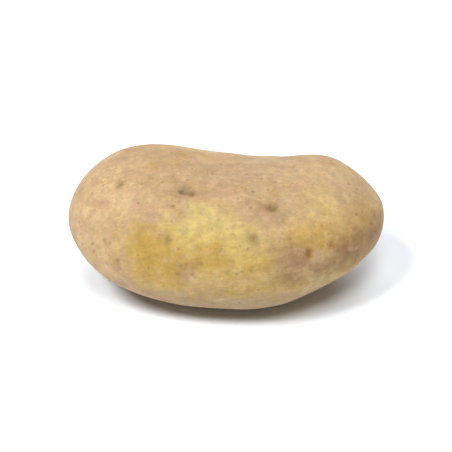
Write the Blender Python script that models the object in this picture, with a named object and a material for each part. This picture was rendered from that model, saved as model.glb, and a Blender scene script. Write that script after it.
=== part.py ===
"""A raw potato, grown as one solid piece and lying on the small flat spot that it settles on.

Lengths are in metres and +Z is up. +X runs along the tuber, from the heel end, where it hung
on its stolon, to the bud end, and -Y is its front. The origin is on the ground, below the
middle of the tuber.

A place on the skin is given by two numbers. "Along" goes from -1 at the heel end to +1 at the
bud end. "Around" is an angle in degrees about the long axis, from the top towards the front,
so that 90 is the front, 180 is the underside and 270 is the back.
"""

import math
from collections import namedtuple

import bmesh
import bpy
from mathutils import Vector

# Overall size of the tuber, measured over everything.
LENGTH = 0.105
WIDTH = 0.061
HEIGHT = 0.0495

# Outline. A bluntness of 2 is an ellipse, and a larger one is squarer at its end.
HEEL_BLUNTNESS = 2.4
BUD_BLUNTNESS = 2.15
TAPER = 0.035  # share by which the girth grows at the heel end and shrinks at the bud end

# Kidney bend: how far the two ends stand above, and behind, the middle.
END_RISE = 0.0026
END_SWEEP = 0.0030

# Thickness that is missing below, where the tuber's weight rests, and how close to the flat
# spot's edge a corner of the grid may lie before it is drawn onto it.
FLAT_DEPTH = 0.0008
FLAT_EDGE_SNAP = 0.0001

# Quads from end to end, and quads across each side, of the grid that becomes the skin.
QUADS_ALONG = 34
QUADS_ACROSS = 18

# How many times the search for a place on the skin halves the stretch that it lies in.
SEARCH_STEPS = 30

# Slow swellings and hollows of the flesh: a positive height stands out, a negative one sinks in.
Lump = namedtuple("Lump", "along around radius height")
LUMPS = (
    Lump(along=-0.94, around=-32, radius=0.013, height=-0.0030),
    Lump(along=-0.92, around=148, radius=0.012, height=-0.0022),
    Lump(along=-0.50, around=-30, radius=0.016, height=0.0012),
    Lump(along=0.16, around=-38, radius=0.023, height=-0.0034),
    Lump(along=0.42, around=-32, radius=0.010, height=-0.0008),
    Lump(along=0.66, around=-30, radius=0.012, height=0.0013),
    Lump(along=0.88, around=-32, radius=0.011, height=-0.0016),
    Lump(along=0.68, around=148, radius=0.013, height=-0.0010),
    Lump(along=0.26, around=135, radius=0.022, height=0.0014),
    Lump(along=-0.45, around=135, radius=0.018, height=-0.0008),
    Lump(along=-0.72, around=75, radius=0.014, height=-0.0006),
    Lump(along=0.80, around=100, radius=0.015, height=0.0006),
    Lump(along=-0.15, around=270, radius=0.018, height=-0.0010),
    Lump(along=0.45, around=235, radius=0.018, height=0.0012),
    Lump(along=-0.62, around=225, radius=0.017, height=0.0010),
)

# The eyes: shallow hollows wider around the tuber than along it, closer together at the bud end.
Eye = namedtuple("Eye", "along around half_width depth")
EYES = (
    Eye(along=-0.66, around=19, half_width=0.0028, depth=0.0005),
    Eye(along=-0.25, around=24, half_width=0.0042, depth=0.0010),
    Eye(along=0.29, around=29, half_width=0.0036, depth=0.0009),
    Eye(along=-0.15, around=75, half_width=0.0036, depth=0.0007),
    Eye(along=0.20, around=55, half_width=0.0032, depth=0.0006),
    Eye(along=0.56, around=74, half_width=0.0038, depth=0.0009),
    Eye(along=-0.44, around=160, half_width=0.0036, depth=0.0008),
    Eye(along=0.46, around=164, half_width=0.0038, depth=0.0009),
    Eye(along=0.10, around=232, half_width=0.0040, depth=0.0010),
    Eye(along=-0.36, around=288, half_width=0.0040, depth=0.0010),
    Eye(along=0.38, around=312, half_width=0.0038, depth=0.0009),
    Eye(along=0.66, around=222, half_width=0.0036, depth=0.0009),
    Eye(along=0.78, around=330, half_width=0.0034, depth=0.0008),
    Eye(along=0.86, around=128, half_width=0.0032, depth=0.0008),
    Eye(along=0.95, around=255, half_width=0.0030, depth=0.0008),
)
EYE_STRETCH = 1.5  # how much wider an eye is around the tuber than along it
EYE_RIM = 0.35  # height of the raised skin about an eye, as a share of its depth
EYE_RIM_PLACE = 1.6  # how far out that raised skin lies, in half widths
EYE_RIM_WIDTH = 0.7  # how broad it is, in half widths

# The scar where the stolon broke off, a pit at the heel end.
SCAR = Eye(along=-0.97, around=250, half_width=0.0032, depth=0.0012)

SKIN_COLOUR = (0.66, 0.46, 0.22, 1.0)
SKIN_ROUGHNESS = 0.6


def clear_scene():
    """Remove every object that is in the scene."""
    for leftover in list(bpy.data.objects):
        bpy.data.objects.remove(leftover, do_unlink=True)


def direction_of(along, around):
    """The unit direction, from the tuber's middle, that a place on the skin lies in."""
    angle = math.radians(around)
    across = math.sqrt(max(0.0, 1.0 - along * along))
    return Vector((along, -across * math.sin(angle), across * math.cos(angle)))


def flesh_point(direction):
    """The point of the bare, bent and tapered body that lies in a unit direction."""
    end = 0.5 * (1.0 + direction.x)
    bluntness = HEEL_BLUNTNESS + (BUD_BLUNTNESS - HEEL_BLUNTNESS) * end
    across = math.hypot(direction.y, direction.z)
    reach = (abs(direction.x) ** bluntness + across**bluntness) ** (-1.0 / bluntness)
    unit = direction * reach
    girth = 1.0 - TAPER * unit.x
    bend = unit.x * unit.x
    return Vector(
        (
            unit.x * LENGTH / 2,
            unit.y * girth * WIDTH / 2 + bend * END_SWEEP,
            unit.z * girth * HEIGHT / 2 + bend * END_RISE,
        )
    )


def skin_place(along, around):
    """A place on the bare body, given by the fraction along it and the angle about it."""
    low = -1.0
    high = 1.0
    for _ in range(SEARCH_STEPS):
        middle = (low + high) / 2
        if flesh_point(direction_of(middle, around)).x < along * LENGTH / 2:
            low = middle
        else:
            high = middle
    return flesh_point(direction_of(middle, around))


def outward(point):
    """The unit direction that leads straight out of the body at a point of its skin."""
    share = point.x / (LENGTH / 2)
    centre_y = END_SWEEP * share * share
    centre_z = END_RISE * share * share
    normal = Vector(
        (
            point.x / (LENGTH / 2) ** 2,
            (point.y - centre_y) / (WIDTH / 2) ** 2,
            (point.z - centre_z) / (HEIGHT / 2) ** 2,
        )
    )
    return normal.normalized()


def bell(distance, radius):
    """A smooth bump of height 1 that has all but gone at twice its radius."""
    return math.exp(-((distance / radius) ** 2))


def lump_height(point, lump, centre):
    """How far one swelling moves the skin at a point."""
    return lump.height * bell((point - centre).length, lump.radius)


def eye_height(point, eye, centre):
    """How far one eye moves the skin at a point: a raised rim about a hollow."""
    offset = point - centre
    offset.x *= EYE_STRETCH
    distance = offset.length / eye.half_width
    rim = EYE_RIM * bell(distance - EYE_RIM_PLACE, EYE_RIM_WIDTH)
    return eye.depth * (rim - bell(distance, 1.0))


def lattice_directions():
    """Corner keys and unit directions of a box-shaped grid that is swollen into a ball."""
    counts = (QUADS_ALONG, QUADS_ACROSS, QUADS_ACROSS)
    directions = {}
    for i in range(counts[0] + 1):
        for j in range(counts[1] + 1):
            for k in range(counts[2] + 1):
                key = (i, j, k)
                if not any(key[axis] in (0, counts[axis]) for axis in range(3)):
                    continue
                even = [math.tan(math.pi / 4 * (2 * key[axis] / counts[axis] - 1)) for axis in range(3)]
                directions[key] = Vector(even).normalized()
    return directions


def lattice_quads():
    """The grid's quads as corner keys, each turned so that it faces outwards."""
    counts = (QUADS_ALONG, QUADS_ACROSS, QUADS_ACROSS)
    for axis in range(3):
        first = (axis + 1) % 3
        second = (axis + 2) % 3
        for side in (0, counts[axis]):
            for a in range(counts[first]):
                for b in range(counts[second]):
                    ring = [(a, b), (a + 1, b), (a + 1, b + 1), (a, b + 1)]
                    if side == 0:
                        ring.reverse()
                    corners = []
                    for u, v in ring:
                        key = [0, 0, 0]
                        key[axis] = side
                        key[first] = u
                        key[second] = v
                        corners.append(tuple(key))
                    yield corners


def shaped_skin():
    """The closed skin as a bmesh, with its lumps, eyes and scar, before it is set down."""
    lumps = [(lump, skin_place(lump.along, lump.around)) for lump in LUMPS]
    eyes = [(eye, skin_place(eye.along, eye.around)) for eye in EYES + (SCAR,)]
    skin = bmesh.new()
    corners = {}
    for key, direction in lattice_directions().items():
        point = flesh_point(direction)
        height = sum(lump_height(point, lump, centre) for lump, centre in lumps)
        height += sum(eye_height(point, eye, centre) for eye, centre in eyes)
        corners[key] = skin.verts.new(point + outward(point) * height)
    for quad in lattice_quads():
        skin.faces.new([corners[key] for key in quad])
    return skin


def fit_to_size(skin):
    """Stretch the skin, by a few hundredths, to its stated size, and set its lowest point at zero."""
    wanted = (LENGTH, WIDTH, HEIGHT + FLAT_DEPTH)
    for axis in range(3):
        places = [vert.co[axis] for vert in skin.verts]
        low = min(places)
        high = max(places)
        stretch = wanted[axis] / (high - low)
        base = low if axis == 2 else (low + high) / 2
        for vert in skin.verts:
            vert.co[axis] = (vert.co[axis] - base) * stretch


def flatten_underside(skin):
    """Slice the resting spot off level, close it with one flat face, and put it on the ground."""
    level = Vector((0.0, 0.0, FLAT_DEPTH))
    bmesh.ops.bisect_plane(
        skin,
        geom=skin.verts[:] + skin.edges[:] + skin.faces[:],
        dist=FLAT_EDGE_SNAP,
        plane_co=level,
        plane_no=Vector((0.0, 0.0, -1.0)),
        use_snap_center=True,
        clear_outer=True,
    )
    rim = [edge for edge in skin.edges if edge.is_boundary]
    bmesh.ops.edgeloop_fill(skin, edges=rim)
    bmesh.ops.translate(skin, verts=skin.verts, vec=-level)
    bmesh.ops.recalc_face_normals(skin, faces=skin.faces)
    for face in skin.faces:
        face.smooth = True
    for edge in rim:
        edge.smooth = False


def skin_material():
    """Thin, dry, buff-coloured potato skin."""
    material = bpy.data.materials.new("skin")
    material.use_nodes = True
    shader = material.node_tree.nodes["Principled BSDF"]
    shader.inputs["Base Color"].default_value = SKIN_COLOUR
    shader.inputs["Roughness"].default_value = SKIN_ROUGHNESS
    shader.inputs["Metallic"].default_value = 0.0
    return material


def build_potato():
    """Make the one object, with its skin shaded smooth."""
    skin = shaped_skin()
    fit_to_size(skin)
    flatten_underside(skin)
    mesh = bpy.data.meshes.new("potato")
    skin.to_mesh(mesh)
    skin.free()
    mesh.materials.append(skin_material())
    potato = bpy.data.objects.new("potato", mesh)
    bpy.context.scene.collection.objects.link(potato)
    return potato


clear_scene()
build_potato()
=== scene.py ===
"""The finished look of a raw potato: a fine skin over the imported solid, on a plain white ground.

Lengths are in metres, in the frame's own axes: +X runs from the heel end to the bud end, +Z is
up and -Y is the front. A place on the skin is given by "along", from -1 at the heel end to +1
at the bud end, and "around", in degrees about the long axis from the top towards the front, so
that 90 is the front, 180 is the underside and 270 is the back.
"""

import math
from collections import namedtuple

import bpy
import numpy as np
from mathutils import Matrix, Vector, noise
from mathutils.bvhtree import BVHTree


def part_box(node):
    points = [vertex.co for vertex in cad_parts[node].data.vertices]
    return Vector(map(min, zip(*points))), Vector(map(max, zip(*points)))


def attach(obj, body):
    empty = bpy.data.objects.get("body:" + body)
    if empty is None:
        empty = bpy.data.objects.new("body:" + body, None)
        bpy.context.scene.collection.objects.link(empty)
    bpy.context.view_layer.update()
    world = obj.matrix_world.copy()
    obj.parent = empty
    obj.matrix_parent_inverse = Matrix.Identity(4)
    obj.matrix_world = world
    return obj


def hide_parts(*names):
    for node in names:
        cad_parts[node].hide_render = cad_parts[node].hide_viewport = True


MM = 0.001

# The grid over the skin: quads from end to end and across each side. They are 0.4 mm wide or so.
QUADS_ALONG = 188
QUADS_ACROSS = 102
KEY_STEP = 1000  # more than the points on any side, so that each corner gets a number of its own
CHART_GAP = 4  # quads left free between the sides of the grid in the unwrapped map
SMOOTH_ROUNDS = 60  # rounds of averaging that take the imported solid's facets off the skin

# The sections across the tuber that a place's angle is measured in: how many there are, how near
# the ends they reach, and how far to each side of one its points may lie.
SECTION_COUNT = 41
SECTION_REACH = 0.97
SECTION_HALF_THICKNESS = 1.0 * MM

# A mark covers only the side of the tuber that it is on. Points this far below its place are on
# the other side, and are taken to be a long way off.
SIDE_DEPTH = 8 * MM
FAR_OFF = 1.0

# Slow unevenness of the flesh: the size of the swellings and how far they stand out.
SWELLS = ((17 * MM, 0.36 * MM), (7.5 * MM, 0.13 * MM), (3.2 * MM, 0.04 * MM))

# A large eye is a dark crease under a raised, curved brow, with a pit in front of it for each of its
# buds. One that is given no buds is a single oval pit. An eye's size is half its width, "turn"
# rotates it about its own middle, "soil" is how much dark soil it holds and "brown" how brown the
# skin about it is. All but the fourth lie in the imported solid's hollows, or at the edge of one.
Eye = namedtuple("Eye", "along around size depth turn soil brown buds")
EYES = (
    Eye(-0.655, 20, 4.4 * MM, 0.40 * MM, -35, 0.50, 0.32, 0),
    Eye(-0.245, 25, 4.8 * MM, 0.75 * MM, 250, 0.70, 0.45, 2),
    Eye(0.28, 35.5, 4.4 * MM, 0.60 * MM, 90, 0.64, 0.42, 0),
    Eye(-0.36, 61, 4.4 * MM, 0.40 * MM, -20, 0.52, 0.22, 0),
    Eye(-0.15, 77, 3.0 * MM, 0.30 * MM, 60, 0.32, 0.30, 0),
    Eye(0.17, 56, 4.2 * MM, 0.40 * MM, 70, 0.10, 0.42, 0),
    Eye(-0.44, 160, 3.4 * MM, 0.55 * MM, 10, 0.80, 0.50, 2),
    Eye(0.46, 164, 3.2 * MM, 0.55 * MM, -15, 0.80, 0.50, 1),
    Eye(0.10, 232, 4.2 * MM, 0.75 * MM, 10, 0.90, 0.60, 2),
    Eye(-0.36, 288, 4.2 * MM, 0.75 * MM, -10, 0.90, 0.60, 2),
    Eye(0.38, 312, 3.6 * MM, 0.65 * MM, 15, 0.85, 0.55, 1),
    Eye(0.66, 222, 3.6 * MM, 0.60 * MM, -5, 0.85, 0.55, 2),
    Eye(0.78, 330, 3.2 * MM, 0.50 * MM, 20, 0.75, 0.50, 1),
    Eye(0.86, 128, 3.0 * MM, 0.50 * MM, 0, 0.75, 0.45, 1),
    Eye(0.95, 255, 3.0 * MM, 0.50 * MM, 0, 0.70, 0.45, 0),
)

# The scar at the heel end where the stolon broke off.
Scar = namedtuple("Scar", "along around radius depth")
SCAR = Scar(-0.97, 250, 2.6 * MM, 0.6 * MM)

# Tints of the skin. A patch has a half length along the tuber, a half width around it, and a
# strength. Noise adds others, where the skin faces the rear. A few ochre and dusk patches on the
# front near the bud end are partly browner skin and partly painted shade with warm painted bounce light.
REAR = (0.0, 0.82, -0.57)  # the direction that faces the back and the ground
Patch = namedtuple("Patch", "along around length width strength")
YELLOW_PATCHES = (
    Patch(-0.11, 44, 7 * MM, 6 * MM, 0.95),
    Patch(-0.25, 58, 8 * MM, 5 * MM, 0.75),
    Patch(0.02, 57, 12 * MM, 7 * MM, 0.85),
    Patch(-0.05, 75, 12 * MM, 8 * MM, 0.75),
    Patch(0.20, 76, 13 * MM, 8 * MM, 0.70),
    Patch(-0.48, 70, 11 * MM, 10 * MM, 0.85),
    Patch(-0.36, 83, 6 * MM, 5 * MM, 0.75),
    Patch(0.60, 27, 8 * MM, 8 * MM, 0.50),
    Patch(0.64, 50, 8 * MM, 7 * MM, 0.45),
    Patch(-0.30, 225, 13 * MM, 8 * MM, 0.65),
    Patch(0.45, 265, 12 * MM, 8 * MM, 0.70),
    Patch(0.05, 165, 13 * MM, 9 * MM, 0.45),
)
OCHRE_PATCHES = (
    Patch(-0.50, 76, 8 * MM, 9 * MM, 0.95),
    Patch(-0.37, 81, 9 * MM, 8 * MM, 0.95),
    Patch(-0.49, 61, 7 * MM, 6 * MM, 0.70),
    Patch(-0.40, 100, 10 * MM, 5 * MM, 0.50),
    Patch(0.00, 104, 12 * MM, 4 * MM, 0.50),
    Patch(-0.08, 71, 8 * MM, 7 * MM, 0.75),
    Patch(0.18, 82, 11 * MM, 9 * MM, 0.55),
    Patch(0.64, 53, 8 * MM, 6 * MM, 0.60),
    Patch(0.46, 55, 7 * MM, 5 * MM, 0.50),
    Patch(0.60, 66, 7 * MM, 4 * MM, 0.45),
    Patch(0.36, 94, 8 * MM, 5 * MM, 0.40),
    # these two: partly ochre skin, partly painted warm bounce light on the front near the bud end
    Patch(0.76, 95, 9 * MM, 7 * MM, 0.75),
    Patch(0.90, 72, 9 * MM, 14 * MM, 0.92),
    Patch(0.48, 99, 12 * MM, 6 * MM, 0.60),
    Patch(0.46, 60, 6 * MM, 5 * MM, 0.50),
    Patch(-0.20, 222, 13 * MM, 9 * MM, 0.85),
    Patch(0.56, 270, 11 * MM, 9 * MM, 0.90),
    Patch(-0.50, 300, 9 * MM, 7 * MM, 0.75),
    Patch(0.10, 170, 12 * MM, 9 * MM, 0.45),
)
DUSK_PATCHES = (
    Patch(0.43, 74, 5 * MM, 5 * MM, 0.75),
    Patch(0.40, 88, 8 * MM, 6 * MM, 0.65),
    Patch(0.60, 91, 6 * MM, 5 * MM, 0.45),
    Patch(0.03, 79, 4 * MM, 7 * MM, 0.22),
    Patch(-0.43, 75, 3 * MM, 3 * MM, 0.30),
    Patch(0.74, 86, 7 * MM, 6 * MM, 0.90),
    Patch(0.20, 62, 6 * MM, 4 * MM, 0.25),
    Patch(0.35, 66, 5 * MM, 4 * MM, 0.25),
    # partly dusky skin, partly painted shade on the front near the bud end
    Patch(0.88, 80, 6 * MM, 8 * MM, 0.45),
    Patch(0.14, 26, 5 * MM, 8 * MM, 0.35),
    Patch(-0.25, 83, 4 * MM, 5 * MM, 0.50),
    Patch(-0.25, 18, 7 * MM, 6 * MM, 0.30),
    Patch(0.28, 38, 6 * MM, 5 * MM, 0.30),
    Patch(-0.52, 53, 5 * MM, 4 * MM, 0.30),
    # partly dusky skin, partly painted shade on the front near the bud end
    Patch(0.92, 90, 10 * MM, 10 * MM, 0.75),
    Patch(-0.66, 265, 9 * MM, 7 * MM, 0.45),
    Patch(0.25, 205, 10 * MM, 7 * MM, 0.50),
    Patch(0.80, 280, 8 * MM, 8 * MM, 0.40),
)
CORK_PATCHES = (
    Patch(-0.47, 22, 6 * MM, 6 * MM, 0.35),
    Patch(0.26, 38, 7 * MM, 6 * MM, 0.40),
    Patch(0.10, 5, 24 * MM, 10 * MM, 0.80),
    Patch(-0.55, 352, 14 * MM, 8 * MM, 0.60),
    Patch(0.80, 12, 10 * MM, 12 * MM, 0.70),
    Patch(0.05, 125, 26 * MM, 6 * MM, 0.55),
    Patch(0.30, 340, 14 * MM, 8 * MM, 0.70),
)
PALE_PATCHES = (
    Patch(-0.64, 34, 8 * MM, 11 * MM, 0.80),
    Patch(-0.88, 64, 7 * MM, 11 * MM, 0.85),
    Patch(-0.70, 8, 9 * MM, 9 * MM, 0.90),
    Patch(-0.34, 34, 6 * MM, 4 * MM, 0.60),
    Patch(0.68, 48, 7 * MM, 5 * MM, 0.40),
    Patch(0.35, 45, 6 * MM, 5 * MM, 0.95),
    Patch(0.38, 16, 8 * MM, 7 * MM, 0.60),
    Patch(0.66, 8, 12 * MM, 8 * MM, 0.80),
    Patch(0.15, 355, 22 * MM, 6 * MM, 0.60),
    Patch(-0.10, 282, 18 * MM, 9 * MM, 0.85),
    Patch(0.30, 190, 14 * MM, 9 * MM, 0.60),
)
RUSSET_PATCHES = (
    Patch(0.17, 57, 2.0 * MM, 1.6 * MM, 0.35),
    Patch(0.51, 73, 1.4 * MM, 2.2 * MM, 0.85),
    Patch(0.64, 69, 3.5 * MM, 1.6 * MM, 0.45),
    Patch(0.74, 79, 2.0 * MM, 2.6 * MM, 0.45),
    Patch(0.80, 72, 4.0 * MM, 2.0 * MM, 0.35),
    Patch(-0.62, 240, 2.0 * MM, 3.0 * MM, 0.45),
    Patch(0.20, 290, 3.0 * MM, 1.8 * MM, 0.45),
)
PATCHES = {  # by the names of the masks that they make
    "yellow": YELLOW_PATCHES,
    "ochre": OCHRE_PATCHES,
    "dusk": DUSK_PATCHES,
    "cork": CORK_PATCHES,
    "pale": PALE_PATCHES,
    "russet": RUSSET_PATCHES,
}

# Small dark marks on the skin that aren't eyes: knocks, scabs and plugged pores.
Mark = namedtuple("Mark", "along around size strength")
MARKS = (
    Mark(-0.33, 37, 0.9 * MM, 0.65),
    Mark(-0.75, 70, 0.9 * MM, 0.50),
    Mark(-0.82, 85, 0.8 * MM, 0.55),
    Mark(-0.67, 86, 0.9 * MM, 0.50),
    Mark(-0.80, 112, 0.7 * MM, 0.45),
    Mark(-0.28, 80, 1.0 * MM, 0.55),
    Mark(-0.30, 87, 1.2 * MM, 0.55),
    Mark(0.25, 58, 1.0 * MM, 0.35),
    Mark(0.51, 73, 1.1 * MM, 0.35),
    Mark(0.70, 78, 0.9 * MM, 0.55),
    Mark(0.76, 84, 1.1 * MM, 0.65),
    Mark(0.82, 88, 0.9 * MM, 0.50),
    Mark(0.12, 30, 0.7 * MM, 0.35),
    Mark(0.82, 22, 0.8 * MM, 0.45),
    Mark(-0.10, 100, 0.8 * MM, 0.40),
    Mark(-0.55, 262, 1.0 * MM, 0.60),
    Mark(0.22, 268, 0.9 * MM, 0.55),
    Mark(0.55, 250, 0.8 * MM, 0.50),
    Mark(-0.10, 330, 0.8 * MM, 0.45),
    Mark(-0.20, 195, 1.0 * MM, 0.50),
)
MARK_DEPTH = 0.12 * MM

# Colours of the skin, as linear RGB. Clean skin is yellow or ochre, and the dry, scurfy film over
# most of it is buff, pale or pink.
YELLOW = (0.505, 0.388, 0.138, 1.0)
OCHRE = (0.412, 0.252, 0.042, 1.0)
BUFF = (0.392, 0.257, 0.130, 1.0)
PALE = (0.500, 0.353, 0.186, 1.0)
PINK = (0.418, 0.254, 0.152, 1.0)
CORK = (0.382, 0.266, 0.157, 1.0)
DUSK = (0.260, 0.150, 0.078, 1.0)
BROWN = (0.150, 0.080, 0.034, 1.0)
SOIL = (0.112, 0.068, 0.020, 1.0)
RUSSET = (0.235, 0.085, 0.012, 1.0)

# The view: degrees above level, how far off, and the width that the picture takes in there.
CAMERA_ELEVATION = 35
CAMERA_DISTANCE = 1.1
PICTURE_WIDTH = 0.150
SENSOR_WIDTH = 36.0  # millimetres
NEAREST_DRAWN = CAMERA_DISTANCE / 10
FARTHEST_DRAWN = CAMERA_DISTANCE * 20

# The lamps: how strong they are, how many degrees of the sky they fill, and which way they stand.
Lamp = namedtuple("Lamp", "name energy breadth towards")
LAMPS = (
    Lamp("key", 2.68, 18, (-0.52, -0.47, 1.0)),
    Lamp("front", 1.45, 18, (0.05, -0.58, 1.0)),
    Lamp("top", 1.55, 56, (0.20, 0.40, 1.0)),
)
WORLD_COLOUR = (0.90, 0.95, 1.0, 1.0)
WORLD_STRENGTH = 0.05

FLOOR_COLOUR = (0.89, 0.93, 0.985, 1.0)  # slightly cool, so that the shadow doesn't look brown
FLOOR_LEVEL_RADIUS = 1.5  # the floor is level as far as this
FLOOR_RADIUS = 5.0
FLOOR_RISE = 0.65  # how high its outer edge stands, so that no view looks past it
FLOOR_SIDES = 96
FLOOR_GAP = 0.05 * MM  # keeps the floor and the flat spot from lying in one plane


class Skin:
    """The fine skin's points, with what is needed to find places on it and to shape it."""

    def __init__(self, points, quads, low, high):
        self.points = points
        self.quads = quads
        self.half = (high - low) / 2
        self.neighbours = self.find_neighbours()
        self.measure()

    def find_neighbours(self):
        """For every point, the 4 points beside it. At a corner of the box there are 3, and one twice."""
        pairs = np.concatenate([self.quads[:, [k, (k + 1) % 4]] for k in range(4)])
        pairs = np.unique(np.sort(pairs, axis=1), axis=0)
        both = np.concatenate([pairs, pairs[:, ::-1]])
        both = both[np.argsort(both[:, 0], kind="stable")]
        first = np.searchsorted(both[:, 0], np.arange(len(self.points)))
        count = np.diff(np.append(first, len(both)))
        table = np.empty((len(self.points), 4), int)
        for k in range(4):
            table[:, k] = both[first + np.minimum(k, count - 1), 1]
        return table

    def smooth(self, rounds):
        """Move every point halfway to the middle of its neighbours, a number of times."""
        for _ in range(rounds):
            self.points = (self.points + self.points[self.neighbours].mean(axis=1)) / 2

    def measure(self):
        """Find the normals, and the middle and half size of the tuber's sections."""
        corners = self.points[self.quads]
        across = np.cross(corners[:, 2] - corners[:, 0], corners[:, 3] - corners[:, 1])
        normals = np.zeros_like(self.points)
        for k in range(4):
            for axis in range(3):
                normals[:, axis] += np.bincount(self.quads[:, k], across[:, axis], len(normals))
        self.normals = normals / np.linalg.norm(normals, axis=1, keepdims=True)
        self.stations = np.linspace(-SECTION_REACH, SECTION_REACH, SECTION_COUNT) * self.half[0]
        along = self.points[:, 0]
        sections = [self.points[np.abs(along - x) < SECTION_HALF_THICKNESS, 1:] for x in self.stations]
        self.middle = np.array([(s.min(axis=0) + s.max(axis=0)) / 2 for s in sections])
        self.girth = np.array([(s.max(axis=0) - s.min(axis=0)) / 2 for s in sections])

    def place(self, along, around):
        """The index of the point that lies at a place on the skin."""
        x = along * self.half[0]
        middle = [np.interp(x, self.stations, self.middle[:, k]) for k in range(2)]
        girth = [np.interp(x, self.stations, self.girth[:, k]) for k in range(2)]
        angle = np.arctan2(
            (middle[0] - self.points[:, 1]) / girth[0], (self.points[:, 2] - middle[1]) / girth[1]
        )
        turn = (angle - math.radians(around) + math.pi) % (2 * math.pi) - math.pi
        return int(np.argmin((self.points[:, 0] - x) ** 2 + (turn * girth[0]) ** 2))

    def local(self, along, around, turn=0.0):
        """Each point's distance along and around the tuber from a place, turned, as u and v."""
        centre = self.place(along, around)
        normal = self.normals[centre]
        length = np.array((1.0, 0.0, 0.0)) - normal * normal[0]
        length /= np.linalg.norm(length)
        width = np.cross(normal, length)
        offset = self.points - self.points[centre]
        u = offset @ length
        v = offset @ width
        behind = offset @ normal < -SIDE_DEPTH
        cos = math.cos(math.radians(turn))
        sin = math.sin(math.radians(turn))
        u, v = u * cos + v * sin, v * cos - u * sin
        return np.where(behind, FAR_OFF, u), np.where(behind, FAR_OFF, v)

    def push(self, height):
        """Move every point out along its normal."""
        self.points = self.points + self.normals * height[:, None]


def bell(distance, radius=1.0):
    """A smooth bump of height 1 that has all but gone at twice its radius."""
    return np.exp(-((distance / radius) ** 2))


def ramp(values, low, high):
    """0 below low and 1 above high, with a smooth step between."""
    share = np.clip((values - low) / (high - low), 0.0, 1.0)
    return share * share * (3 - 2 * share)


def noise_field(points, size, seed):
    """Smooth noise from -1 to 1 whose swells are about a size wide, and differ from seed to seed."""
    return np.array([noise.noise(Vector(p)) for p in points / size + seed])


def box_grid():
    """Directions from the middle to the points of a box-shaped grid, its quads, and their map."""
    counts = np.array((QUADS_ALONG, QUADS_ACROSS, QUADS_ACROSS))
    keys = []
    places = []
    for axis in range(3):
        first, second = (axis + 1) % 3, (axis + 2) % 3
        a, b = np.meshgrid(np.arange(counts[first]), np.arange(counts[second]), indexing="ij")
        for side in (0, counts[axis]):
            ring = np.stack([[a, b], [a + 1, b], [a + 1, b + 1], [a, b + 1]])
            ring = ring.transpose(2, 3, 0, 1).reshape(-1, 4, 2)
            if side == 0:
                ring = ring[:, ::-1]
            corners = np.zeros((len(ring), 4, 3), int)
            corners[..., axis] = side
            corners[..., first] = ring[..., 0]
            corners[..., second] = ring[..., 1]
            keys.append(corners)
            places.append(chart_places(corners, axis, side == 0, counts))
    keys = np.concatenate(keys)
    flat = (keys[..., 0] * KEY_STEP + keys[..., 1]) * KEY_STEP + keys[..., 2]
    kept, index = np.unique(flat, return_inverse=True)
    grid = np.stack([kept // KEY_STEP**2, kept // KEY_STEP % KEY_STEP, kept % KEY_STEP], axis=1)
    directions = np.tan(np.pi / 4 * (2 * grid / counts - 1))
    directions /= np.linalg.norm(directions, axis=1, keepdims=True)
    return directions, index.reshape(-1, 4), np.concatenate(places)


def chart_places(corners, axis, low_side, counts):
    """Where one side of the box lies in the map: long sides in rows, the two ends beside them."""
    row = counts[1] + CHART_GAP
    size = np.array((counts[0] + counts[1] + 3 * CHART_GAP, 4 * row + CHART_GAP), float)
    if axis == 0:
        u, v = corners[..., 1], corners[..., 2]
        start = (counts[0] + 2 * CHART_GAP, CHART_GAP + (0 if low_side else row))
    else:
        u, v = corners[..., 0], corners[..., 3 - axis]
        start = (CHART_GAP, CHART_GAP + row * (2 * (axis - 1) + (0 if low_side else 1)))
    return np.stack([u + start[0], v + start[1]], axis=-1) / size


def skin_over(solid, low, high):
    """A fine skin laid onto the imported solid, with its facets smoothed away, and the skin's map."""
    directions, quads, places = box_grid()
    tree = BVHTree.FromObject(solid, bpy.context.evaluated_depsgraph_get())
    middle = (low + high) / 2
    rays = directions * (high - low)
    points = np.array([tree.ray_cast(Vector(middle), Vector(ray))[0] for ray in rays])
    skin = Skin(points, quads, low, high)
    skin.smooth(SMOOTH_ROUNDS)
    fit_box(skin, low, high)
    skin.measure()
    return skin, places


def fit_box(skin, low, high):
    """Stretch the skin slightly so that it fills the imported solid's box again."""
    reach_low = skin.points.min(axis=0)
    reach_high = skin.points.max(axis=0)
    skin.points = low + (skin.points - reach_low) * (high - low) / (reach_high - reach_low)


def eye_relief(skin, eye):
    """The height that one eye adds, how much soil lies in it, and how brown the skin about it is."""
    u, v = skin.local(eye.along, eye.around, eye.turn)
    u, v = u / eye.size, v / eye.size
    around = np.hypot(1.2 * u, 0.9 * v)
    if eye.buds == 0:
        height, soil = oval_pit(u, v, around)
    else:
        height, soil = browed_hollow(u, v, around, eye.buds)
    return height * eye.depth, soil * eye.soil, eye.brown * bell(around, 0.72)


def oval_pit(u, v, around):
    """A small eye's height and soil: one pit in a wide hollow. Lengths are in the eye's size."""
    pit = bell(np.hypot(1.15 * u, 0.90 * v), 0.50)
    rim = bell(around - 1.0, 0.3)
    hollow = bell(around, 1.0)
    return 0.25 * rim - 0.8 * pit - 0.3 * hollow, pit


def browed_hollow(u, v, around, buds):
    """A larger eye's height and soil: a crease below a brow, and a pit with a nub for each bud."""
    before = u + 0.42 - 0.35 * v * v
    span = bell(v, 0.60)
    crease = bell(before, 0.14) * span
    brow = bell(before + 0.32, 0.26) * span
    hollow = bell(around, 0.85)
    height = 0.50 * brow - 0.30 * crease - 0.55 * hollow
    soil = 0.50 * crease
    for bud in range(buds):
        side = 0.0 if buds == 1 else 0.36 * (2 * bud - 1)
        share = 1.0 - 0.08 * bud
        pit = bell(np.hypot(1.3 * u, v - side), 0.34)
        nub = bell(np.hypot(u + 0.16, v - 0.5 * side), 0.15)
        height += 0.30 * nub - 0.70 * share * pit
        soil += share * pit - 0.25 * nub
    return height, np.clip(soil, 0.0, 1.0)


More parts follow.
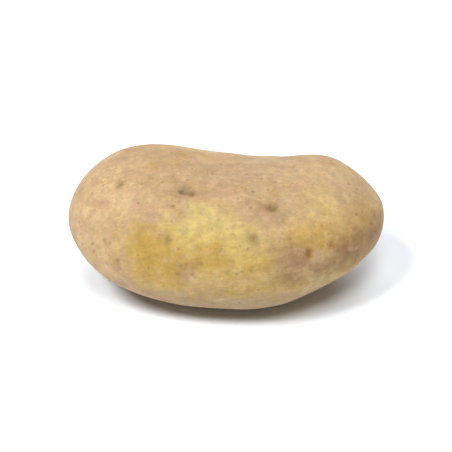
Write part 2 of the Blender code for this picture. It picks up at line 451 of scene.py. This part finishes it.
def scar_relief(skin):
    """The height that the stolon scar adds, how much soil lies in it, and how brown it is."""
    u, v = skin.local(SCAR.along, SCAR.around)
    distance = np.hypot(u, 0.85 * v) / SCAR.radius
    distance = distance * (1 + 0.5 * noise_field(skin.points, 2.2 * MM, seed=40.0))
    height = 0.35 * bell(distance - 1.3, 0.35) - bell(distance, 0.8)
    soil = 0.62 * bell(distance, 0.45)
    brown = 0.50 * bell(distance, 1.0)
    return height * SCAR.depth, soil, brown


def patch_field(skin, patches, ragged):
    """How strongly a tint's patches cover each point, made uneven by noise."""
    left = np.ones(len(skin.points))
    for patch in patches:
        u, v = skin.local(patch.along, patch.around)
        left *= 1 - patch.strength * bell(np.hypot(u / patch.length, v / patch.width))
    return np.clip((1 - left) * (1 + 0.5 * ragged), 0.0, 1.0)


def skin_relief(skin):
    """The height of the whole skin's relief, and the masks of the soil and of the brown spots."""
    height = np.zeros(len(skin.points))
    for turn, (size, swell) in enumerate(SWELLS):
        height += swell * noise_field(skin.points, size, seed=7.0 * turn)
    soil = np.zeros(len(skin.points))
    spots = np.zeros(len(skin.points))
    for rise, dirt, brown in [eye_relief(skin, eye) for eye in EYES] + [scar_relief(skin)]:
        height += rise
        soil = np.maximum(soil, dirt)
        spots = np.maximum(spots, brown)
    crooked = 1 + 0.4 * noise_field(skin.points, 1.5 * MM, seed=83.0)
    for mark in MARKS:
        u, v = skin.local(mark.along, mark.around)
        cover = bell(np.hypot(u, v) * crooked, mark.size)
        height -= MARK_DEPTH * cover
        spots = np.maximum(spots, cover * mark.strength)
    return height, soil, spots


def skin_tints(skin):
    """The masks of the tints: their patches, and those that noise adds at the rear."""
    wide = noise_field(skin.points, 26 * MM, seed=61.0)
    coarse = noise_field(skin.points, 9 * MM, seed=3.3)
    ragged = 0.6 * noise_field(skin.points, 4 * MM, seed=11.0)
    ragged += 0.4 * noise_field(skin.points, 1.8 * MM, seed=23.0)
    rear = ramp(skin.normals @ np.array(REAR), -0.3, 0.2)
    added = {
        "yellow": 0.35 * ramp(wide + 0.5 * coarse, 0.05, 0.55) * rear,
        "dusk": 0.35 * ramp(coarse + 0.4 * ragged, 0.30, 0.75) * rear,
        "cork": 0.4 * ramp(-wide - 0.4 * coarse, 0.0, 0.5) * rear,
    }
    tints = {name: patch_field(skin, patches, ragged) for name, patches in PATCHES.items()}
    for name, mask in added.items():
        tints[name] = np.maximum(tints[name], mask)
    return tints


def skin_object(skin, places, masks):
    """The skin as a Blender object, with its masks as attributes and its own unwrapped map."""
    mesh = bpy.data.meshes.new("potato_skin")
    mesh.from_pydata(skin.points.tolist(), [], skin.quads.tolist())
    mesh.shade_smooth()
    for name, values in masks.items():
        attribute = mesh.attributes.new(name, "FLOAT", "POINT")
        attribute.data.foreach_set("value", values.astype(np.float32))
    uv = mesh.uv_layers.new(name="OFBake")
    uv.data.foreach_set("uv", places.astype(np.float32).ravel())
    mesh.validate()
    skin_piece = bpy.data.objects.new("potato_skin", mesh)
    bpy.context.scene.collection.objects.link(skin_piece)
    return skin_piece


class Graph:
    """Short ways to add shader nodes to one material."""

    # The places of a Mix node's colours among its inputs, and of its result among its outputs.
    MIX_UNDER = 6
    MIX_OVER = 7
    MIX_RESULT = 2

    def __init__(self, name):
        self.material = bpy.data.materials.new(name)
        self.material.use_nodes = True
        self.tree = self.material.node_tree
        self.shader = self.tree.nodes["Principled BSDF"]

    def put(self, socket, value):
        """Link a socket to another node's output, or set it to a number or a colour."""
        if isinstance(value, bpy.types.NodeSocket):
            self.tree.links.new(value, socket)
        else:
            socket.default_value = value

    def node(self, kind, settings, inputs, output):
        """A new node with its settings and inputs, and the output that is asked for."""
        made = self.tree.nodes.new(kind)
        for name, value in settings.items():
            setattr(made, name, value)
        for name, value in inputs.items():
            self.put(made.inputs[name], value)
        return made.outputs[output]

    def place(self):
        """The piece's own coordinates, in metres."""
        return self.node("ShaderNodeTexCoord", {}, {}, "Object")

    def scaled(self, vector, factors):
        """A vector multiplied, part by part."""
        settings = {"operation": "MULTIPLY"}
        return self.node("ShaderNodeVectorMath", settings, {0: vector, 1: factors}, "Vector")

    def shifted(self, vector, size, reach):
        """A vector moved by up to a reach, by noise whose swells are about a size wide."""
        push = self.scaled(self.noise(vector, size, output="Color"), (reach, reach, reach))
        settings = {"operation": "ADD"}
        return self.node("ShaderNodeVectorMath", settings, {0: vector, 1: push}, "Vector")

    def mask(self, name):
        """A mask that the mesh carries."""
        return self.node("ShaderNodeAttribute", {"attribute_name": name}, {}, "Fac")

    def noise(self, vector, size, detail=2.0, roughness=0.5, output="Fac"):
        """Smooth noise whose swells are about a size wide."""
        inputs = {"Vector": vector, "Scale": 1 / size, "Detail": detail, "Roughness": roughness}
        return self.node("ShaderNodeTexNoise", {}, inputs, output)

    def cells(self, vector, size, feature="F1", output="Distance"):
        """A pattern of uneven cells that are about a size wide."""
        inputs = {"Vector": vector, "Scale": 1 / size}
        return self.node("ShaderNodeTexVoronoi", {"feature": feature}, inputs, output)

    def math(self, operation, a, b=0.0):
        """A sum, product or the like of two numbers."""
        return self.node("ShaderNodeMath", {"operation": operation}, {0: a, 1: b}, "Value")

    def ramp(self, value, low, high, start=0.0, end=1.0):
        """From start at low to end at high, with a smooth step between."""
        inputs = {"Value": value, "From Min": low, "From Max": high, "To Min": start, "To Max": end}
        return self.node("ShaderNodeMapRange", {"interpolation_type": "SMOOTHSTEP"}, inputs, "Result")

    def grey(self, value):
        """A number as a colour."""
        return self.node("ShaderNodeCombineColor", {}, {0: value, 1: value, 2: value}, "Color")

    def mix(self, factor, a, b, blend="MIX"):
        """Colour a with colour b laid over it."""
        made = self.tree.nodes.new("ShaderNodeMix")
        made.data_type = "RGBA"
        made.blend_type = blend
        self.put(made.inputs["Factor"], factor)
        self.put(made.inputs[self.MIX_UNDER], a)
        self.put(made.inputs[self.MIX_OVER], b)
        return made.outputs[self.MIX_RESULT]


class SkinLook:
    """The textures of the skin, and the colour, gloss and fine relief that are made of them."""

    def __init__(self, graph):
        self.graph = graph
        self.place = graph.place()
        self.warped = graph.shifted(self.place, 4 * MM, 1.5 * MM)
        crooked = graph.shifted(self.warped, 1.1 * MM, 0.6 * MM)
        drawn_out = graph.scaled(self.warped, (0.20, 1.0, 1.0))
        flaking = graph.noise(self.warped, 7 * MM, detail=8.0, roughness=0.68)
        scabby = graph.noise(self.warped, 4.0 * MM, detail=6.0, roughness=0.7)
        self.ragged = graph.noise(self.warped, 4.5 * MM, detail=6.0, roughness=0.62)
        self.mottle = graph.noise(self.place, 3.0 * MM, detail=5.0, roughness=0.58)
        self.fine = graph.noise(self.place, 0.8 * MM, detail=3.0, roughness=0.6)
        self.streaks = graph.noise(drawn_out, 1.0 * MM, detail=3.0)
        self.flakes = graph.ramp(flaking, 0.49, 0.53)
        self.scabs = graph.ramp(scabby, 0.63, 0.70)
        self.pores, self.rims = skin_pores(graph, crooked)
        self.specks = skin_specks(graph, self.place, crooked)
        self.cork = self.cover("cork", 0.80)
        self.dusk = self.cover("dusk", 0.80)
        self.bare = graph.math("MAXIMUM", self.cover("yellow", 0.92), self.cover("ochre", 0.80))
        filmed = graph.math("SUBTRACT", 1.0, self.bare)
        self.net = graph.math("MULTIPLY", skin_netting(graph, self.place, self.warped), filmed)
        crumbs = graph.math("MULTIPLY", graph.math("SUBTRACT", self.fine, 0.5), 0.5)
        self.spots = graph.ramp(graph.math("ADD", graph.mask("spots"), crumbs), 0.04, 1.04)
        self.soil = graph.ramp(graph.math("ADD", graph.mask("soil"), crumbs), 0.08, 0.95, 0.0, 0.90)

    def cover(self, name, strength):
        """How strongly a tint covers the skin: its mask, with its edge broken up."""
        graph = self.graph
        shift = graph.math("MULTIPLY", graph.math("SUBTRACT", self.ragged, 0.5), 0.9)
        spread = graph.math("ADD", graph.mask(name), shift)
        return graph.ramp(spread, 0.0, 0.9, 0.0, strength)

    def film(self):
        """The colour of the scurfy film: buff, with pale, ochre and pink stretches."""
        graph = self.graph
        thick = graph.ramp(graph.noise(self.place, 9 * MM, detail=3.0), 0.35, 0.65, 0.0, 0.8)
        golden = graph.ramp(graph.noise(self.warped, 6 * MM, detail=3.0), 0.48, 0.62, 0.0, 0.40)
        rosy = graph.ramp(graph.noise(self.warped, 5 * MM, detail=3.0), 0.46, 0.66, 0.0, 0.65)
        film = graph.mix(thick, BUFF, PALE)
        film = graph.mix(golden, film, OCHRE)
        film = graph.mix(self.cover("pale", 0.90), film, PALE)
        return graph.mix(rosy, film, PINK)

    def shade(self):
        """How much lighter or darker than its tint the skin is."""
        graph = self.graph
        shade = graph.ramp(self.mottle, 0.28, 0.72, 0.89, 1.10)
        for part in (
            graph.ramp(self.flakes, 0.0, 1.0, 0.965, 1.025),
            graph.ramp(self.fine, 0.30, 0.70, 0.94, 1.06),
            graph.ramp(self.streaks, 0.30, 0.70, 0.96, 1.04),
        ):
            shade = graph.math("MULTIPLY", shade, part)
        return graph.grey(shade)

    def colour(self):
        """Film or clean skin, then the darker tints, the fine marks, the spots and the soil."""
        graph = self.graph
        clean = graph.mix(self.cover("ochre", 0.90), YELLOW, OCHRE)
        colour = graph.mix(self.bare, self.film(), clean)
        for cover, tint in ((self.cork, CORK), (self.dusk, DUSK), (self.cover("russet", 0.80), RUSSET)):
            colour = graph.mix(cover, colour, tint)
        for mark, strength, tint in (
            (self.net, 0.22, BROWN),
            (self.scabs, 0.35, DUSK),
            (self.rims, 0.25, PALE),
            (self.pores, 0.35, BROWN),
            (self.specks, 0.45, BROWN),
        ):
            colour = graph.mix(graph.math("MULTIPLY", mark, strength), colour, tint)
        colour = graph.mix(1.0, colour, self.shade(), "MULTIPLY")
        colour = graph.mix(self.spots, colour, BROWN)
        return graph.mix(self.soil, colour, SOIL)

    def roughness(self):
        """How rough the skin is, which is more where it is corky or soiled."""
        graph = self.graph
        rough = graph.ramp(self.fine, 0.3, 0.7, 0.55, 0.66)
        rough = graph.math("ADD", rough, graph.math("MULTIPLY", self.cork, 0.12))
        return graph.math("ADD", rough, graph.math("MULTIPLY", self.soil, 0.15))

    def bump(self):
        """The finest relief, from the height in millimetres that each texture adds."""
        graph = self.graph
        grain = graph.noise(self.place, 0.6 * MM, detail=3.0, roughness=0.6)
        scurf = graph.math("MULTIPLY", graph.math("ADD", self.cork, self.dusk), self.ragged)
        relief = graph.math("MULTIPLY", grain, 0.035)
        for part, height in (
            (self.ragged, 0.06),
            (self.mottle, 0.08),
            (scurf, 0.08),
            (self.streaks, 0.02),
            (self.net, -0.04),
            (self.rims, 0.05),
            (self.flakes, 0.03),
        ):
            relief = graph.math("ADD", relief, graph.math("MULTIPLY", part, height))
        inputs = {"Strength": 1.0, "Distance": MM, "Height": relief}
        return graph.node("ShaderNodeBump", {}, inputs, "Normal")


def potato_skin():
    """Thin, dry skin: a scurfy, buff film with clean yellow and ochre, corky and dusky patches, of which
    a few near the bud end are partly painted shade.
    """
    graph = Graph("potato_skin")
    look = SkinLook(graph)
    graph.put(graph.shader.inputs["Base Color"], look.colour())
    graph.put(graph.shader.inputs["Roughness"], look.roughness())
    graph.put(graph.shader.inputs["Normal"], look.bump())
    graph.shader.inputs["Diffuse Roughness"].default_value = 0.4
    graph.shader.inputs["Specular IOR Level"].default_value = 0.20
    graph.shader.inputs["Subsurface Weight"].default_value = 0.10
    graph.shader.inputs["Subsurface Radius"].default_value = (1.0, 0.5, 0.2)
    graph.shader.inputs["Subsurface Scale"].default_value = 1.5 * MM
    graph.shader.inputs["Sheen Weight"].default_value = 0.03
    graph.shader.inputs["Sheen Roughness"].default_value = 0.5
    graph.shader.inputs["Sheen Tint"].default_value = PALE
    return graph.material


def skin_netting(graph, place, warped):
    """Fine cracks between flat cells that are longer along the tuber, in some areas only."""
    cells = graph.cells(graph.scaled(warped, (0.55, 1.0, 1.0)), 1.3 * MM, "DISTANCE_TO_EDGE")
    netted = graph.ramp(graph.noise(place, 6 * MM, detail=3.0), 0.45, 0.65)
    return graph.math("MULTIPLY", graph.ramp(cells, 0.0, 0.20, 1.0, 0.0), netted)


def scattered_dots(graph, vector, size, share):
    """Distance from the nearest of some uneven dots, one to a cell, and 1 near a share of them."""
    distance = graph.cells(vector, size)
    separate = {"Color": graph.cells(vector, size, output="Color")}
    chosen = graph.node("ShaderNodeSeparateColor", {}, separate, "Red")
    girth = graph.node("ShaderNodeSeparateColor", {}, separate, "Green")
    distance = graph.math("DIVIDE", distance, graph.ramp(girth, 0.0, 1.0, 0.55, 1.45))
    return distance, graph.ramp(chosen, 1 - share, 1.05 - share)


def skin_pores(graph, vector):
    """The pores, as dark middles and their raised, pale rims."""
    distance, chosen = scattered_dots(graph, vector, 3.2 * MM, 0.6)
    middle = graph.math("MULTIPLY", graph.ramp(distance, 0.04, 0.20, 1.0, 0.0), chosen)
    rim = graph.math("MULTIPLY", graph.ramp(distance, 0.20, 0.36, 1.0, 0.0), chosen)
    return middle, graph.math("SUBTRACT", rim, middle)


def skin_specks(graph, place, vector):
    """Tiny dark specks, gathered in some areas."""
    distance, chosen = scattered_dots(graph, vector, 1.6 * MM, 0.35)
    dot = graph.math("MULTIPLY", graph.ramp(distance, 0.06, 0.30, 1.0, 0.0), chosen)
    return graph.math("MULTIPLY", dot, graph.ramp(graph.noise(place, 9 * MM), 0.42, 0.65))


def floor():
    """A plain white ground, level about the tuber and rising gently far away from it."""
    corners = []
    for radius, rise in ((FLOOR_LEVEL_RADIUS, 0.0), (FLOOR_RADIUS, FLOOR_RISE)):
        for side in range(FLOOR_SIDES):
            turn = 2 * math.pi * side / FLOOR_SIDES
            corners.append((radius * math.cos(turn), radius * math.sin(turn), rise))
    faces = [tuple(range(FLOOR_SIDES))]
    for side in range(FLOOR_SIDES):
        after = (side + 1) % FLOOR_SIDES
        faces.append((side, side + FLOOR_SIDES, after + FLOOR_SIDES, after))
    mesh = bpy.data.meshes.new("floor")
    mesh.from_pydata(corners, [], faces)
    graph = Graph("floor")
    graph.shader.inputs["Base Color"].default_value = FLOOR_COLOUR
    graph.shader.inputs["Roughness"].default_value = 0.9
    graph.shader.inputs["Specular IOR Level"].default_value = 0.1
    mesh.materials.append(graph.material)
    ground = bpy.data.objects.new("floor", mesh)
    ground.location.z = -FLOOR_GAP
    bpy.context.scene.collection.objects.link(ground)


def lights():
    """Three soft lamps, the strongest high up at the front left, and faint light from all round."""
    for lamp in LAMPS:
        data = bpy.data.lights.new(lamp.name, "SUN")
        data.energy = lamp.energy
        data.angle = math.radians(lamp.breadth)
        light = bpy.data.objects.new(lamp.name, data)
        light.rotation_euler = Vector(lamp.towards).to_track_quat("Z", "Y").to_euler()
        bpy.context.scene.collection.objects.link(light)
    world = bpy.data.worlds.new("studio")
    world.use_nodes = True
    background = world.node_tree.nodes["Background"]
    background.inputs["Color"].default_value = WORLD_COLOUR
    background.inputs["Strength"].default_value = WORLD_STRENGTH
    bpy.context.scene.world = world


def camera(low, high):
    """A long lens from the front, looking down on the tuber."""
    data = bpy.data.cameras.new("camera")
    data.sensor_width = SENSOR_WIDTH
    data.lens = SENSOR_WIDTH * CAMERA_DISTANCE / PICTURE_WIDTH
    data.clip_start = NEAREST_DRAWN
    data.clip_end = FARTHEST_DRAWN
    view = bpy.data.objects.new("camera", data)
    elevation = math.radians(CAMERA_ELEVATION)
    back = Vector((0.0, -math.cos(elevation), math.sin(elevation)))
    view.location = Vector((low + high) / 2) + back * CAMERA_DISTANCE
    view.rotation_euler = back.to_track_quat("Z", "Y").to_euler()
    bpy.context.scene.collection.objects.link(view)
    bpy.context.scene.camera = view


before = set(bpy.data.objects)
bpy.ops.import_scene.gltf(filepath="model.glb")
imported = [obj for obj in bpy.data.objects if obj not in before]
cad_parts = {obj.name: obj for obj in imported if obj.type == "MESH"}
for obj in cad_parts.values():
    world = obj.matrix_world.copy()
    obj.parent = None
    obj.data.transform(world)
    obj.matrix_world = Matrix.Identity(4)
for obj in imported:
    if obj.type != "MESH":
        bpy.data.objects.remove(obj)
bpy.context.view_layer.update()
low, high = (np.array(corner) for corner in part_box("potato"))

skin, places = skin_over(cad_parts["potato"], low, high)
height, soil, spots = skin_relief(skin)
masks = skin_tints(skin)
masks["soil"] = soil
masks["spots"] = spots
skin.push(height)
skin.points[:, 2] = np.maximum(skin.points[:, 2], low[2])  # nothing reaches below the ground
potato = skin_object(skin, places, masks)
potato.data.materials.append(potato_skin())
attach(potato, "root")
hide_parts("potato")

floor()
lights()
camera(low, high)
bpy.context.scene.view_settings.view_transform = "Standard"
